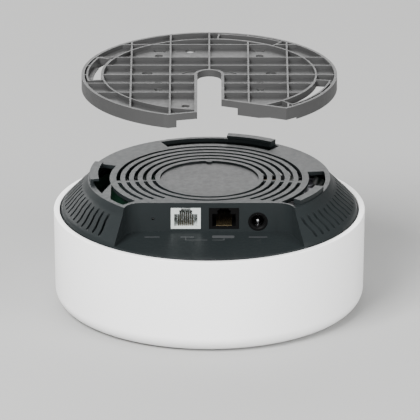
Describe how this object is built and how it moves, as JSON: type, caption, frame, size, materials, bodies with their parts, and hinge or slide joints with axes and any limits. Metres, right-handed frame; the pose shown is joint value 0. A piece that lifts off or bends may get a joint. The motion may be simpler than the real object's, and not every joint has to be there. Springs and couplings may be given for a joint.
{
  "type": "mesh wifi node",
  "caption": "Ceiling mesh wifi node: round white shell, vented dark base with a port bay at one side, and a ribbed mounting plate lifted off its bayonet hooks.",
  "frame": {"origin": "centre of the closed white face, which the node lies on", "axes": "+Z along the drum's axis from the closed face to the ceiling plate; the port bay faces -Y; +X to the right seen from the ports"},
  "size_m": [0.16, 0.16, 0.1227],
  "materials": {
    "shell_white": "satin moulded",
    "chassis_charcoal": "satin moulded",
    "plate_grey": "matte moulded",
    "label_film": "satin film",
    "jack_white": "moulded",
    "jack_black": "moulded",
    "gold_contact": "plated",
    "steel_bright": "plated",
    "switch_grey": "moulded",
    "board_green": "solder mask",
    "chip_epoxy": "laser marked epoxy",
    "thermal_pad_grey": "soft silicone",
    "sink_aluminium": "extruded",
    "shield_tin": "tinned",
    "ferrite": "sintered",
    "winding_tape": "polyester tape",
    "capacitor_can": "drawn can",
    "clear_guide": "clear moulded",
    "led_body": "moulded"
  },
  "bodies": {
    "node_unit": {"outer_shell": "shell_white", "base_chassis": "chassis_charcoal", "label_disc": "label_film", "lan_jack_housing": "jack_white", "lan_jack_contacts": "gold_contact", "poe_jack_housing": "jack_black", "poe_jack_contacts": "gold_contact", "dc_jack_housing": "jack_black", "dc_jack_pin": "steel_bright", "dc_jack_spring": "steel_bright", "reset_switch_body": "switch_grey", "reset_dome": "steel_bright", "main_board": "board_green", "lan_magnetics": "chip_epoxy", "poe_magnetics": "chip_epoxy", "flash_chip": "chip_epoxy", "soc_chip": "chip_epoxy", "memory_chip": "chip_epoxy", "radio_chip_low_band": "chip_epoxy", "radio_chip_high_band": "chip_epoxy", "soc_shield_frame": "shield_tin", "soc_shield_cover": "shield_tin", "soc_sink_pad": "thermal_pad_grey", "radio_shield_frame": "shield_tin", "radio_shield_cover": "shield_tin", "radio_sink_pad": "thermal_pad_grey", "soc_chip_pad": "thermal_pad_grey", "heat_sink": "sink_aluminium", "antenna_low_left": "steel_bright", "antenna_low_right": "steel_bright", "antenna_high_left": "steel_bright", "antenna_high_right": "steel_bright", "transformer_core": "ferrite", "transformer_bobbin": "jack_black", "transformer_winding": "winding_tape", "power_inductors": "ferrite", "bulk_capacitors": "capacitor_can", "status_led": "led_body", "light_guide": "clear_guide", "board_screws": "steel_bright", "heat_sink_screws": "steel_bright"},
    "mount_plate": {"mount_plate": "plate_grey"},
    "reset_button": {"reset_plunger": "switch_grey"}
  },
  "joints": [
    {"name": "plate_lift", "type": "slide", "parent": "node_unit", "child": "mount_plate", "axis": [0, 0, 1], "range_m": [-0.049, 0]},
    {"name": "reset_press", "type": "slide", "parent": "node_unit", "child": "reset_button", "axis": [0, 1, 0], "range_m": [0, 0.0003], "stiffness_N_per_m": 4000, "springref_m": -0.0001}
  ]
}
